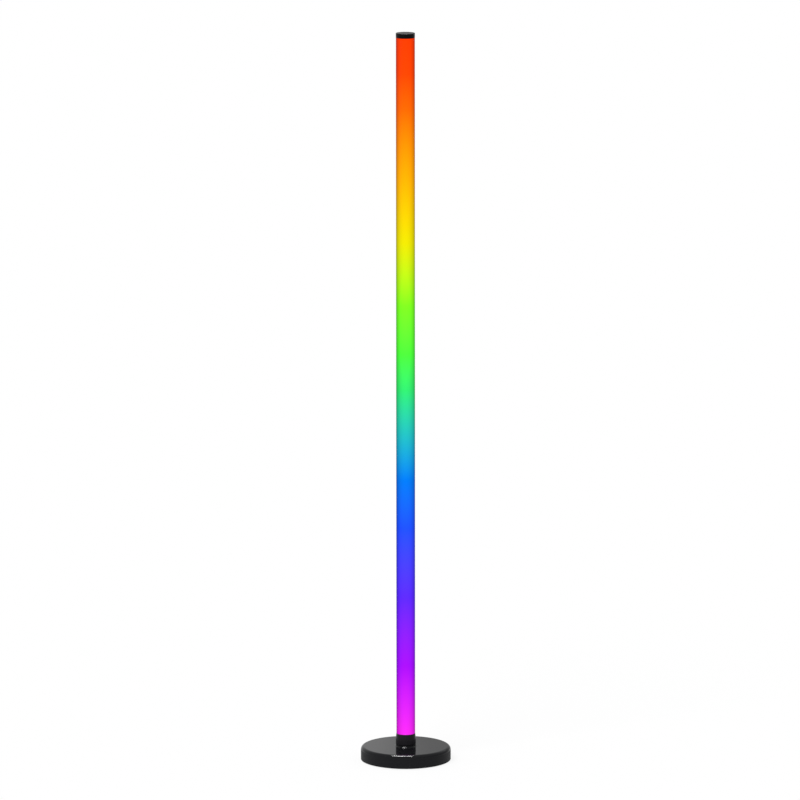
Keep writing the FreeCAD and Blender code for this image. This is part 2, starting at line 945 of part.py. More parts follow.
def all_pieces():
    lower, middle, upper = core_sections()
    joiner_lower, joiner_upper = core_joiners()
    return {
        "foot_pad": foot_pad(),
        "bottom_plate": bottom_plate(),
        "bottom_plate_screws": bottom_plate_screws(),
        "base_weight": base_weight(),
        "base_shell": base_shell(),
        "stem_nipple": stem_nipple(),
        "stem_washer": stem_washer(),
        "stem_nut": stem_nut(),
        "inlet_housing": inlet_housing(),
        "inlet_pin": inlet_pin(),
        "inlet_contact": inlet_contact(),
        "inlet_leads": inlet_leads(),
        "controller_board": controller_board(),
        "board_screws": board_screws(),
        "board_headers": board_headers(),
        "controller_chip": controller_chip(),
        "radio_module": radio_module(),
        "board_capacitor": board_capacitor(),
        "front_strip_leads": strip_leads(-1, lead_layers[0]),
        "rear_strip_leads": strip_leads(1, lead_layers[1]),
        "collar": collar(),
        "collar_set_screw": collar_set_screw(),
        "core_lower": lower,
        "core_middle": middle,
        "core_upper": upper,
        "core_joiner_lower": joiner_lower,
        "core_joiner_upper": joiner_upper,
        "joiner_screws": joiner_screws(),
        "core_plug_lower": core_plug(),
        "core_plug_upper": at_top(core_plug()),
        "plug_screws": group([plug_screw_pair(), at_top(plug_screw_pair())]),
        "led_strip_front": led_strip(-1),
        "led_strip_rear": led_strip(1),
        "front_leds": leds(-1),
        "rear_leds": leds(1),
        "tube_spacers": tube_spacers(),
        "diffuser_tube": diffuser_tube(),
        "top_cap": top_cap(),
    }


os.makedirs("parts", exist_ok=True)
for name, shape in all_pieces().items():
    shape.exportStep(f"parts/{name}.step")
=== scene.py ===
import colorsys
import json
import math

import bmesh
import bpy
from mathutils import Matrix, Vector


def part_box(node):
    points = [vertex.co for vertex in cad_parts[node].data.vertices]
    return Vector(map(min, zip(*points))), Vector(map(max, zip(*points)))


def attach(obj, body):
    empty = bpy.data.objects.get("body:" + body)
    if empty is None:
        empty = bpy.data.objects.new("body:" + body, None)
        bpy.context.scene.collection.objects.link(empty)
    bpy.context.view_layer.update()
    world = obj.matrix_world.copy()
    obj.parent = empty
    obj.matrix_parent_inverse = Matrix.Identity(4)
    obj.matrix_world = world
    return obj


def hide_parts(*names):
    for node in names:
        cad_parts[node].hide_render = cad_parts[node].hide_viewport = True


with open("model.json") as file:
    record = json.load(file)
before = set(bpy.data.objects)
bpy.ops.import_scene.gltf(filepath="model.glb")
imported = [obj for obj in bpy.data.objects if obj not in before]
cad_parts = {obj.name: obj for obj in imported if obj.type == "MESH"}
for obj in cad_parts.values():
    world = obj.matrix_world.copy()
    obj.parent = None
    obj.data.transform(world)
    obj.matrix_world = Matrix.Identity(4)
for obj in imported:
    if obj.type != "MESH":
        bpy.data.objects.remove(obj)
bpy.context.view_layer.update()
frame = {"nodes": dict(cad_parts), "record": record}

print("frame loaded:", len(frame["nodes"]), "nodes")

upAxis = (0, 0, 1)
sharpAngle = math.radians(32)  # edges sharper than this stay crisp
facing = 0.9  # a face whose normal reaches this far along an axis looks that way
seamGap = 1e-6  # points of a turned outline closer than this are one
weldGap = 2e-7  # the same for points that cuts and joins leave
ringSlack = 1e-5  # how far off a circle a point still counts as on it
overshoot = 0.001  # how far a cutting tool reaches past what it cuts


# mesh helpers; a rounding is given as its size and its number of steps

def standAt(x, y, z, turn=0.0, axis="Z"):
    return Matrix.Translation((x, y, z)) @ Matrix.Rotation(turn, 4, axis)


def spinProfile(corners, steps):  # turns a closed (radius, height) outline round the tube's axis
    mesh = bmesh.new()
    points = [mesh.verts.new((radius, 0, height)) for radius, height in corners]
    sides = [mesh.edges.new(ends) for ends in zip(points, points[1:] + points[:1])
             if ends[0].co.x or ends[1].co.x]  # no side lies on the axis
    bmesh.ops.spin(mesh, geom=points + sides, cent=(0, 0, 0), axis=upAxis,
                   angle=math.tau, steps=steps, use_merge=True)
    bmesh.ops.remove_doubles(mesh, verts=mesh.verts, dist=seamGap)
    bmesh.ops.recalc_face_normals(mesh, faces=mesh.faces)
    return mesh


def spinSleeve(inner, outer, low, high, steps):
    return spinProfile([(inner, low.z), (outer, low.z), (outer, high.z), (inner, high.z)], steps)


def bevelEdges(mesh, edges, size, steps, clamped=False):
    bmesh.ops.bevel(mesh, geom=edges, offset=size, offset_type="OFFSET", segments=steps,
                    profile=0.5, affect="EDGES", material=-1, clamp_overlap=clamped)


def bevelRing(mesh, radius, height, size, steps):  # rounds the circle at that radius and height
    def onRing(vert):
        return (abs(math.hypot(vert.co.x, vert.co.y) - radius) < ringSlack
                and abs(vert.co.z - height) < ringSlack)
    edges = [edge for edge in mesh.edges if all(onRing(vert) for vert in edge.verts)]
    bevelEdges(mesh, edges, size, steps)


def bevelAll(mesh, size, steps):  # rounds every sharp edge of a small part
    edges = [edge for edge in mesh.edges if edge.calc_face_angle(0) > sharpAngle]
    bevelEdges(mesh, edges, size, steps, clamped=True)


def addBlock(mesh, low, high, turn=0.0):  # a box between two corners, turned round the tube's axis
    low, high = Vector(low), Vector(high)
    place = (Matrix.Rotation(turn, 4, "Z") @ Matrix.Translation((low + high) / 2)
             @ Matrix.Diagonal((*(high - low), 1)))
    return bmesh.ops.create_cube(mesh, size=1, matrix=place)["verts"]


def makeRod(radius, start, end, steps, endRadius=None):  # a round bar between two points
    start, end = Vector(start), Vector(end)
    turn = (end - start).to_track_quat("Z", "Y").to_matrix().to_4x4()
    mesh = bmesh.new()
    bmesh.ops.create_cone(
        mesh, cap_ends=True, segments=steps, radius1=radius, radius2=endRadius or radius,
        depth=(end - start).length, matrix=Matrix.Translation((start + end) / 2) @ turn)
    return mesh


def layDown(mesh, height):  # points what was spun upright to the rear, at that height
    bmesh.ops.rotate(mesh, verts=mesh.verts, cent=(0, 0, 0),
                     matrix=Matrix.Rotation(-math.pi / 2, 3, "X"))
    bmesh.ops.translate(mesh, verts=mesh.verts, vec=(0, 0, height))


def addObject(name, data):
    added = bpy.data.objects.new(name, data)
    bpy.context.scene.collection.objects.link(added)
    return added


def meshObject(mesh, name):
    data = bpy.data.meshes.new(name)
    mesh.to_mesh(data)
    mesh.free()
    return addObject(name, data)


def mergeInto(mesh, other):  # adds another mesh to this one, each still closed
    data = bpy.data.meshes.new("merged")
    other.to_mesh(data)
    other.free()
    mesh.from_mesh(data)
    bpy.data.meshes.remove(data)


def combine(operation, mesh, *others):  # cuts the others away, or joins them on
    body = meshObject(mesh, "body")
    tools = [meshObject(other, "tool") for other in others]
    for tool in tools:
        step = body.modifiers.new("step", "BOOLEAN")
        step.operation = operation
        step.solver = "EXACT"
        step.use_self = operation == "UNION"
        step.object = tool
    bpy.context.view_layer.update()
    result = bmesh.new()
    result.from_object(body, bpy.context.evaluated_depsgraph_get())
    for piece in (body, *tools):
        bpy.data.objects.remove(piece)
    bmesh.ops.remove_doubles(result, verts=result.verts, dist=weldGap)
    bmesh.ops.dissolve_degenerate(result, edges=result.edges, dist=weldGap)
    return result


def joinSolids(*solids):  # one solid from two that overlap
    return combine("UNION", *solids)


def cutAway(*solids):  # the first without the volume of the rest
    return combine("DIFFERENCE", *solids)


def finishPiece(mesh, name, slotName, *nodes):  # shades the mesh and puts it in the nodes' place
    for face in mesh.faces:
        face.smooth = True
    for edge in mesh.edges:
        edge.smooth = edge.calc_face_angle(0) < sharpAngle
    piece = meshObject(mesh, name)
    cleanNormals = piece.modifiers.new("cleanNormals", "WEIGHTED_NORMAL")
    cleanNormals.keep_sharp = True
    piece.data.materials.append(finishes[slotName])
    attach(piece, "root")
    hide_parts(*nodes)


# shader helpers

def feed(tree, value, socket):  # links a socket, or sets a plain value
    if isinstance(value, bpy.types.NodeSocket):
        tree.links.new(value, socket)
    else:
        socket.default_value = value


def addMath(tree, operation, *values):  # one Math node
    node = tree.nodes.new("ShaderNodeMath")
    node.operation = operation
    for socket, value in zip(node.inputs, values):
        feed(tree, value, socket)
    return node.outputs[0]


def addNoise(tree, vector, scale, detail=1.0, distortion=0.0):
    noise = tree.nodes.new("ShaderNodeTexNoise")
    noise.inputs["Detail"].default_value = detail
    noise.inputs["Distortion"].default_value = distortion
    tree.links.new(vector, noise.inputs["Vector"])
    feed(tree, scale, noise.inputs["Scale"])
    return noise.outputs[0]


def addCells(tree, vector, scale):
    cells = tree.nodes.new("ShaderNodeTexVoronoi")
    cells.inputs["Scale"].default_value = scale
    tree.links.new(vector, cells.inputs["Vector"])
    return cells


def scaleColour(tree, colour, factor):
    node = tree.nodes.new("ShaderNodeVectorMath")
    node.operation = "SCALE"
    tree.links.new(colour, node.inputs[0])
    feed(tree, factor, node.inputs["Scale"])
    return node.outputs[0]


def mixColours(tree, mask, base, tone):  # the tone where the mask is 1
    node = tree.nodes.new("ShaderNodeMix")
    node.data_type = "RGBA"
    tree.links.new(mask, node.inputs["Factor"])
    tree.links.new(base, node.inputs["A"])
    node.inputs["B"].default_value = (*tone, 1)
    return node.outputs["Result"]


def splitVector(tree, vector):
    node = tree.nodes.new("ShaderNodeSeparateXYZ")
    tree.links.new(vector, node.inputs[0])
    return node.outputs


def mapRange(tree, value, start, end, low=0.0, high=1.0):  # start to end becomes low to high
    node = tree.nodes.new("ShaderNodeMapRange")
    limits = {"From Min": start, "From Max": end, "To Min": low, "To Max": high}
    for label, limit in limits.items():
        node.inputs[label].default_value = limit
    tree.links.new(value, node.inputs["Value"])
    return node.outputs["Result"]


def newGroup(name, inputs, outputs):  # each input and output is a label and its kind
    group = bpy.data.node_groups.new(name, "ShaderNodeTree")
    for direction, sockets in (("INPUT", inputs), ("OUTPUT", outputs)):
        for label, kind in sockets.items():
            group.interface.new_socket(label, in_out=direction, socket_type="NodeSocket" + kind)
    return (group, group.nodes.new("NodeGroupInput").outputs,
            group.nodes.new("NodeGroupOutput").inputs)


# shared shader groups

surfaceInputs = {"Vector": "Vector", "Tone": "Color", "Variation": "Float", "Roughness": "Float",
                 "Spread": "Float"}
surfaceOutputs = {"Color": "Color", "Roughness": "Float", "Height": "Float"}


def endSurface(group, given, result, toneShift, roughShift, height):
    factor = addMath(group, "MULTIPLY_ADD", toneShift, given["Variation"], 1.0)
    group.links.new(scaleColour(group, given["Tone"], factor), result["Color"])
    rough = addMath(group, "MULTIPLY_ADD", roughShift, given["Spread"], given["Roughness"])
    group.links.new(rough, result["Roughness"])
    group.links.new(height, result["Height"])
    return group


grain = {
    "detail": 3.0,
    "cloudScale": 0.02,  # of the grain's scale
    "cloudWarp": 0.4,
    "share": 0.6,  # of the grain in the roughness, beside the clouds
}


def makeGrainGroup():  # fine moulded grain with broad, faint cloudiness
    group, given, result = newGroup(
        "surfaceGrain", {**surfaceInputs, "Scale": "Float"}, surfaceOutputs)
    fine = addNoise(group, given["Vector"], given["Scale"], grain["detail"])
    broadScale = addMath(group, "MULTIPLY", given["Scale"], grain["cloudScale"])
    broad = addNoise(group, given["Vector"], broadScale, grain["detail"], grain["cloudWarp"])
    cloud = addMath(group, "SUBTRACT", broad, 0.5)
    both = addMath(group, "ADD", cloud,
                   addMath(group, "MULTIPLY_ADD", fine, grain["share"], -grain["share"] / 2))
    return endSurface(group, given, result, cloud, both, fine)


marks = {
    "hairScale": 34.0, "hairWarp": 6.0, "hairWidth": 0.0022, "patchScale": 60.0,
    "patchFrom": 0.52,  # the hairs show where the patches are above this
    "speckScale": 620.0, "speckSize": 0.11,
    "speckFrom": 0.9,  # one cell in ten has a speck
}


def makeMarksGroup():  # hair scratches and settled dust
    group, given, result = newGroup(
        "handlingMarks", {"Vector": "Vector"}, {"Scratches": "Float", "Dust": "Float"})
    wander = addNoise(group, given["Vector"], marks["hairScale"], distortion=marks["hairWarp"])
    line = addMath(group, "COMPARE", wander, 0.5, marks["hairWidth"])
    patches = addNoise(group, given["Vector"], marks["patchScale"])
    shown = addMath(group, "GREATER_THAN", patches, marks["patchFrom"])
    group.links.new(addMath(group, "MULTIPLY", line, shown), result["Scratches"])
    specks = addCells(group, given["Vector"], marks["speckScale"])
    chosen = group.nodes.new("ShaderNodeSeparateColor")
    group.links.new(specks.outputs["Color"], chosen.inputs["Color"])
    small = addMath(group, "LESS_THAN", specks.outputs["Distance"], marks["speckSize"])
    few = addMath(group, "GREATER_THAN", chosen.outputs["Red"], marks["speckFrom"])
    group.links.new(addMath(group, "MULTIPLY", small, few), result["Dust"])
    return group


drawn = {"lineScale": 900.0, "lineDetail": 4.0, "stainScale": 45.0, "stainDetail": 3.0,
         "stainShare": 0.6}  # the lines have the rest


def makeDrawnGroup():  # fine lines that drawing, turning or extruding leaves in metal
    group, given, result = newGroup("drawnLines", surfaceInputs, surfaceOutputs)
    lines = addNoise(group, given["Vector"], drawn["lineScale"], drawn["lineDetail"])
    stains = addNoise(group, given["Vector"], drawn["stainScale"], drawn["stainDetail"])
    share = drawn["stainShare"]
    offset = addMath(group, "MULTIPLY_ADD", stains, share, -share / 2)
    both = addMath(group, "MULTIPLY_ADD", lines, 1 - share, offset)
    return endSurface(group, given, result, both, both, lines)


def makeRepeatGroup():  # a round or square spot repeated up the lamp, one every pitch
    group, given, result = newGroup(
        "repeatedSpots",
        {"Vector": "Vector", "First": "Float", "Pitch": "Float", "Half Height": "Float",
         "Half Width": "Float"},
        {"Square": "Float", "Round": "Float"})
    place = splitVector(group, given["Vector"])
    above = addMath(group, "SUBTRACT", place["Z"], given["First"])
    turns = addMath(group, "DIVIDE", above, given["Pitch"])
    offset = addMath(group, "SUBTRACT", turns, addMath(group, "ROUND", turns))
    along = addMath(group, "DIVIDE", addMath(group, "MULTIPLY", offset, given["Pitch"]),
                    given["Half Height"])
    across = addMath(group, "DIVIDE", place["X"], given["Half Width"])
    ways = (along, across)
    inside = [addMath(group, "LESS_THAN", addMath(group, "ABSOLUTE", way), 1.0) for way in ways]
    group.links.new(addMath(group, "MULTIPLY", *inside), result["Square"])
    reach = addMath(group, "ADD", *[addMath(group, "MULTIPLY", way, way) for way in ways])
    group.links.new(addMath(group, "LESS_THAN", reach, 1.0), result["Round"])
    return group


grainGroup = makeGrainGroup()
marksGroup = makeMarksGroup()
drawnGroup = makeDrawnGroup()
repeatGroup = makeRepeatGroup()
print("shader groups built")


# materials, one per finish slot

surfaceDepth = 0.0001  # how deep grain and drawn lines are pressed in
printDepth = 0.00005  # how high tracks and solder stand


def objectVector(tree, scale=(1, 1, 1)):
    coordinates = tree.nodes.new("ShaderNodeTexCoord")
    mapping = tree.nodes.new("ShaderNodeMapping")
    mapping.inputs["Scale"].default_value = scale
    tree.links.new(coordinates.outputs["Object"], mapping.inputs["Vector"])
    return mapping.outputs["Vector"]


def startMaterial(name, stretch=(1, 1, 1)):
    material = bpy.data.materials.new(name)
    material.use_nodes = True
    tree = material.node_tree
    return material, tree, tree.nodes["Principled BSDF"], objectVector(tree, stretch)


def placeGroup(tree, group, vector, **values):
    node = tree.nodes.new("ShaderNodeGroup")
    node.node_tree = group
    tree.links.new(vector, node.inputs["Vector"])
    for label, value in values.items():
        node.inputs[label.replace("_", " ")].default_value = value
    return node.outputs


def placeGrain(tree, vector, tone, variation, scale, roughness, spread):
    return placeGroup(tree, grainGroup, vector, Tone=(*tone, 1), Variation=variation,
                      Scale=scale, Roughness=roughness, Spread=spread)


def connect(tree, shader, colour, rough):
    tree.links.new(colour, shader.inputs["Base Color"])
    tree.links.new(rough, shader.inputs["Roughness"])


def addBump(tree, shader, height, strength, distance):
    bump = tree.nodes.new("ShaderNodeBump")
    bump.inputs["Strength"].default_value = strength
    bump.inputs["Distance"].default_value = distance
    tree.links.new(height, bump.inputs["Height"])
    tree.links.new(bump.outputs["Normal"], shader.inputs["Normal"])


plastics = {  # tone, variation, grain scale, roughness, its spread, bump, specular level, marks
    "shell_black": ((0.0078, 0.0080, 0.0092), 0.30, 260, 0.075, 0.05, 0.015, 0.09, 1.0),
    "cap_black": ((0.0022, 0.0018, 0.0024), 0.35, 1500, 0.36, 0.10, 0.10, 0.06, 0.5),
    "collar_black": ((0.0140, 0.0130, 0.0155), 0.30, 1400, 0.28, 0.08, 0.08, 0.06, 0.5),
    "plate_black": ((0.014, 0.014, 0.015), 0.40, 1100, 0.58, 0.14, 0.35, 0.40, 0.8),
    "pad_rubber": ((0.020, 0.020, 0.021), 0.50, 1900, 0.86, 0.10, 0.80, 0.25, 0.0),
    "inlet_black": ((0.012, 0.012, 0.013), 0.30, 1800, 0.42, 0.08, 0.15, 0.40, 0.0),
    "lead_insulation": ((0.46, 0.46, 0.47), 0.12, 900, 0.50, 0.10, 0.10, 0.40, 0.3),
    "header_white": ((0.72, 0.69, 0.62), 0.08, 1300, 0.45, 0.10, 0.15, 0.45, 0.0),
    "chip_black": ((0.015, 0.015, 0.016), 0.30, 2600, 0.62, 0.12, 0.40, 0.40, 0.0),
    "plug_nylon": ((0.60, 0.59, 0.55), 0.10, 900, 0.48, 0.12, 0.15, 0.40, 0.0),
    "spacer_clear": ((0.78, 0.80, 0.82), 0.05, 700, 0.12, 0.05, 0.05, 0.50, 0.0),
}
wear = {  # where the marks are
    "dustTone": (0.12, 0.115, 0.11),
    "dustCover": 0.45,
    "roughness": {"Scratches": 0.12, "Dust": 0.4},
}
satin = {  # the base's side, which turns glossy up its rounded edge
    "slot": "shell_black",
    "roughness": 0.55,
    "gone": 0.0235,
    "full": 0.0205,
}


def plasticMaterial(name):
    *look, bump, specular, marked = plastics[name]
    material, tree, shader, vector = startMaterial(name)
    surface = placeGrain(tree, vector, *look)
    colour, rough = surface["Color"], surface["Roughness"]
    if marked:
        worn = placeGroup(tree, marksGroup, vector)
        dust = addMath(tree, "MULTIPLY", worn["Dust"], wear["dustCover"] * marked)
        colour = mixColours(tree, dust, colour, wear["dustTone"])
        for label, more in wear["roughness"].items():
            rough = addMath(tree, "MULTIPLY_ADD", worn[label], more * marked, rough)
    if name == satin["slot"]:
        side = mapRange(tree, splitVector(tree, vector)["Z"], satin["gone"], satin["full"],
                        high=satin["roughness"])
        rough = addMath(tree, "MAXIMUM", rough, side)
    connect(tree, shader, colour, rough)
    shader.inputs["Specular IOR Level"].default_value = specular
    addBump(tree, shader, surface["Height"], bump, surfaceDepth)
    return material


metals = {  # tone, variation, roughness, its spread, line stretch, bump
    "weight_iron": ((0.13, 0.13, 0.135), 0.9, 0.62, 0.25, (0.5, 0.5, 0.5), 0.6),
    "stem_steel": ((0.60, 0.60, 0.57), 0.3, 0.30, 0.15, (1, 1, 0.05), 0.05),
    "screw_steel": ((0.045, 0.045, 0.048), 0.5, 0.38, 0.15, (1, 1, 1), 0.08),
    "contact_brass": ((0.72, 0.53, 0.24), 0.25, 0.26, 0.12, (1, 0.05, 1), 0.04),
    "can_metal": ((0.66, 0.66, 0.67), 0.15, 0.32, 0.10, (1, 0.08, 1), 0.05),
    "core_aluminium": ((0.70, 0.71, 0.72), 0.18, 0.34, 0.14, (1, 1, 0.01), 0.08),
}


def metalMaterial(name):
    tone, variation, roughness, spread, stretch, bump = metals[name]
    material, tree, shader, vector = startMaterial(name, stretch)
    surface = placeGroup(tree, drawnGroup, vector, Tone=(*tone, 1), Variation=variation,
                         Roughness=roughness, Spread=spread)
    connect(tree, shader, surface["Color"], surface["Roughness"])
    shader.inputs["Metallic"].default_value = 1.0
    addBump(tree, shader, surface["Height"], bump, surfaceDepth)
    return material


board = {
    "mask": ((0.010, 0.11, 0.045), 0.2, 900, 0.28, 0.08),  # as in plastics, to the spread
    "track": (0.020, 0.19, 0.085),
    "trackScale": 420,
    "trackFrom": 0.42,
    "bump": 0.3,
}


def boardMaterial():  # solder mask over copper tracks
    material, tree, shader, vector = startMaterial("board_green")
    cells = addCells(tree, vector, board["trackScale"])
    cells.distance = "CHEBYCHEV"
    track = addMath(tree, "GREATER_THAN", cells.outputs["Distance"], board["trackFrom"])
    surface = placeGrain(tree, vector, *board["mask"])
    colour = mixColours(tree, track, surface["Color"], board["track"])
    connect(tree, shader, colour, surface["Roughness"])
    addBump(tree, shader, track, board["bump"], printDepth)
    return material


# the light strips' own sizes and looks, for their pieces and their patterns

strips = {
    "pitch": 1 / 60,
    "packageWidth": 0.005,
    "window": 0.0021,  # half width of the opening over the chips
    "windowDepth": 0.0003, "windowEdge": 0.0001,
    "pad": (0.0009, 0.0036),  # half height and half width of the row of solder pads
    "film": ((0.74, 0.74, 0.72), 0.08, 700, 0.42, 0.10),
    "tin": (0.55, 0.53, 0.48), "tinBump": 0.4,
    "package": ((0.80, 0.80, 0.78), 0.06, 1500, 0.40, 0.10),
    "phosphor": (0.62, 0.60, 0.42),
    "windowGloss": 0.28,  # how much less rough the window is
}
lowStrip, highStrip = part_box("led_strip_front")
packageCount = int((highStrip.z - lowStrip.z) // strips["pitch"])
firstPackage = (lowStrip.z + highStrip.z - strips["pitch"] * (packageCount - 1)) / 2  # its centre


def repeatUp(tree, vector, first, halfHeight, halfWidth):
    return placeGroup(tree, repeatGroup, vector, First=first, Pitch=strips["pitch"],
                      Half_Height=halfHeight, Half_Width=halfWidth)


def stripMaterial():  # white flexible board with a row of tinned pads between the packages
    material, tree, shader, vector = startMaterial("strip_white")
    pads = repeatUp(tree, vector, firstPackage + strips["pitch"] / 2, *strips["pad"])["Square"]
    surface = placeGrain(tree, vector, *strips["film"])
    colour = mixColours(tree, pads, surface["Color"], strips["tin"])
    connect(tree, shader, colour, surface["Roughness"])
    tree.links.new(pads, shader.inputs["Metallic"])
    addBump(tree, shader, pads, strips["tinBump"], printDepth)
    return material


def packageMaterial():  # white package with a clear round window over the chips
    material, tree, shader, vector = startMaterial("led_package")
    window = repeatUp(tree, vector, firstPackage, strips["window"], strips["window"])["Round"]
    surface = placeGrain(tree, vector, *strips["package"])
    rough = addMath(tree, "MULTIPLY_ADD", window, -strips["windowGloss"], surface["Roughness"])
    connect(tree, shader, mixColours(tree, window, surface["Color"], strips["phosphor"]), rough)
    return material


# the lit tube

rainbow = [  # place up the tube, hue in degrees, saturation, value
    (0.00, 302, 0.83, 0.97),  # magenta
    (0.10, 278, 0.95, 1.00),  # violet
    (0.20, 254, 0.84, 1.00),  # indigo
    (0.30, 227, 0.88, 1.00),  # blue
    (0.37, 210, 1.00, 0.94),  # azure
    (0.50, 140, 0.79, 0.91),  # sea green
    (0.55, 115, 0.77, 1.00),  # green
    (0.62, 95, 0.88, 1.00),  # leaf
    (0.71, 58, 1.00, 0.91),  # yellow
    (0.80, 41, 1.00, 1.00),  # amber
    (0.90, 24, 1.00, 1.00),  # orange
    (0.95, 16, 1.00, 1.00),  # red
    (1.00, 14, 1.00, 1.00),
]
opal = {
    "glow": 2.45,  # the light from inside
    "body": 0.30,  # painted glow: the share of the glow's rainbow colour painted into the plastic's base colour
    "skin": 0.42,  # what a matt skin lets through square on, and less at a slant
    "skinIndex": 1.1, "skinRoughness": 0.9, "specular": 0.0,
    "haze": 0.02,  # how much the glow wavers
    "hazeScale": 14.0, "hazeDetail": 2.0, "lineScale": 1200.0, "lineDetail": 3.0,
    "lineStretch": (1, 1, 0.02),  # up the extrusion
    "roughness": (0.41, 0.08),  # between the lines, and how much more on them
    "bump": 0.05,
}


def linearColour(hue, saturation, value):  # from a colour wheel's degrees
    def toLinear(channel):
        return channel / 12.92 if channel <= 0.04045 else ((channel + 0.055) / 1.055) ** 2.4
    return [*map(toLinear, colorsys.hsv_to_rgb(hue / 360, saturation, value)), 1]


def opalMaterial():
    low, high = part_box("diffuser_tube")
    material, tree, shader, vector = startMaterial("diffuser_opal")
    ramp = tree.nodes.new("ShaderNodeValToRGB")
    stops = ramp.color_ramp.elements
    for stop, (height, *colour) in ((stops[0], rainbow[0]), (stops[1], rainbow[-1])):
        stop.position, stop.color = height, linearColour(*colour)
    for height, *colour in rainbow[1:-1]:
        stops.new(height).color = linearColour(*colour)
    up = mapRange(tree, splitVector(tree, vector)["Z"], low.z, high.z)
    tree.links.new(up, ramp.inputs["Fac"])
    clouds = addNoise(tree, vector, opal["hazeScale"], opal["hazeDetail"])
    haze = addMath(tree, "MULTIPLY_ADD", clouds, opal["haze"], 1 - opal["haze"] / 2)
    lit = scaleColour(tree, ramp.outputs["Color"], haze)
    tree.links.new(scaleColour(tree, lit, opal["glow"]), shader.inputs["Emission Color"])
    for label, value in (("Emission Strength", 1.0), ("Specular IOR Level", opal["specular"]),
                         ("Coat Weight", 1.0), ("Coat Roughness", opal["skinRoughness"]),
                         ("Coat IOR", opal["skinIndex"]), ("Coat Tint", (*[opal["skin"]] * 3, 1))):
        shader.inputs[label].default_value = value
    upward = objectVector(tree, opal["lineStretch"])
    lines = addNoise(tree, upward, opal["lineScale"], opal["lineDetail"])
    smooth, more = opal["roughness"]
    # painted glow: the base colour carries the glow's rainbow colour as well as the emission
    connect(tree, shader, scaleColour(tree, lit, opal["body"]),
            addMath(tree, "MULTIPLY_ADD", lines, more, smooth))
    addBump(tree, shader, lines, opal["bump"], surfaceDepth)
    return material


finishes = {name: plasticMaterial(name) for name in plastics}
finishes.update({name: metalMaterial(name) for name in metals})
finishes["board_green"] = boardMaterial()
finishes["strip_white"] = stripMaterial()
finishes["led_package"] = packageMaterial()
finishes["diffuser_opal"] = opalMaterial()
for part in frame["record"]["subparts"]:
    for materialSlot in frame["nodes"][part["node"]].material_slots:
        materialSlot.material = finishes[part["material_slot"]]
print("materials built:", len(finishes))


# base

shell = {
    "steps": 256,
    "ringRadius": 0.0194, "ringHeight": 0.0033, "ringEdge": (0.0004, 4),
    "ringFoot": (0.0020, 8),  # flares out to the roof
    "edge": (0.0064, 18), "footEdge": (0.0006, 4), "innerEdge": (0.0015, 4),
    "wall": 0.0028,  # beside the plate
    "roof": 0.003, "ledge": 0.0014, "plateSeat": 0.0025, "stemHole": 0.00525,
    "hubRadius": 0.017, "ribDepth": 0.002, "ribWidth": 0.0016, "ribCount": 8,
    "boss": (0.004, 0.00155),  # radius, and its pilot hole's
    "boardBoss": (0.0028, 0.00105),
    "bossSteps": 40, "pilotDepth": 0.012,
    "pilotShare": 0.95,  # of a short boss
    "inletHole": 0.0055, "inletFlare": 0.0008, "inletSteps": 96,
    "cradleWall": 0.0016, "cradleDrop": 0.0015,
    "cradleStop": 0.0028,  # over the inlet's middle, behind it
    "clearance": 0.00015,
    "sunk": 0.0003,  # how far ribs, bosses and cradle reach into the shell
}
shellLow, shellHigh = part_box("base_shell")
pinLow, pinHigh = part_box("inlet_pin")
housingLow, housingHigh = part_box("inlet_housing")
boardLow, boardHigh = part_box("controller_board")
plateTop = shellLow.z + shell["plateSeat"]
inletHeight = (pinLow.z + pinHigh.z) / 2
plateScrewRadius = 0.058
plateScrewPlaces = [(plateScrewRadius * math.cos(turn), plateScrewRadius * math.sin(turn))
                    for turn in map(math.radians, (45, 135, 225, 315))]
boardScrewInset = 0.003
boardScrewPlaces = [(boardLow.x + boardScrewInset, boardLow.y + boardScrewInset),
                    (boardHigh.x - boardScrewInset, boardHigh.y - boardScrewInset)]


def makeBaseShell():
    radius, bottom, ringTop = shellHigh.x, shellLow.z, shellHigh.z
    stemHole, ringRadius, hubRadius = shell["stemHole"], shell["ringRadius"], shell["hubRadius"]
    top = ringTop - shell["ringHeight"]
    under = top - shell["roof"]
    hubBottom = under - shell["ribDepth"]
    seat = radius - shell["wall"]
    cavity = seat - shell["ledge"]
    mesh = spinProfile([
        (stemHole, ringTop), (ringRadius, ringTop), (ringRadius, top), (radius, top),
        (radius, bottom), (seat, bottom), (seat, plateTop), (cavity, plateTop), (cavity, under),
        (hubRadius, under), (hubRadius, hubBottom), (stemHole, hubBottom)], shell["steps"])
    bevelRing(mesh, radius, top, *shell["edge"])
    bevelRing(mesh, ringRadius, ringTop, *shell["ringEdge"])
    bevelRing(mesh, ringRadius, top, *shell["ringFoot"])
    bevelRing(mesh, radius, bottom, *shell["footEdge"])
    bevelRing(mesh, cavity, under, *shell["innerEdge"])
    mesh = cutAway(mesh, makeInletTool(radius))
    sunk, halfRib = shell["sunk"], shell["ribWidth"] / 2
    inner = bmesh.new()
    for k in range(shell["ribCount"]):
        addBlock(inner, (hubRadius - sunk, -halfRib, hubBottom),
                 (cavity + sunk, halfRib, under + sunk), math.tau * (k + 0.5) / shell["ribCount"])
    for x, y in plateScrewPlaces:
        addSleeve(inner, x, y, plateTop, under, *shell["boss"])
    for x, y in boardScrewPlaces:
        addSleeve(inner, x, y, boardHigh.z, under, *shell["boardBoss"])
    addCradle(inner, cavity, under)
    finishPiece(joinSolids(mesh, inner), "baseShell", "shell_black", "base_shell")


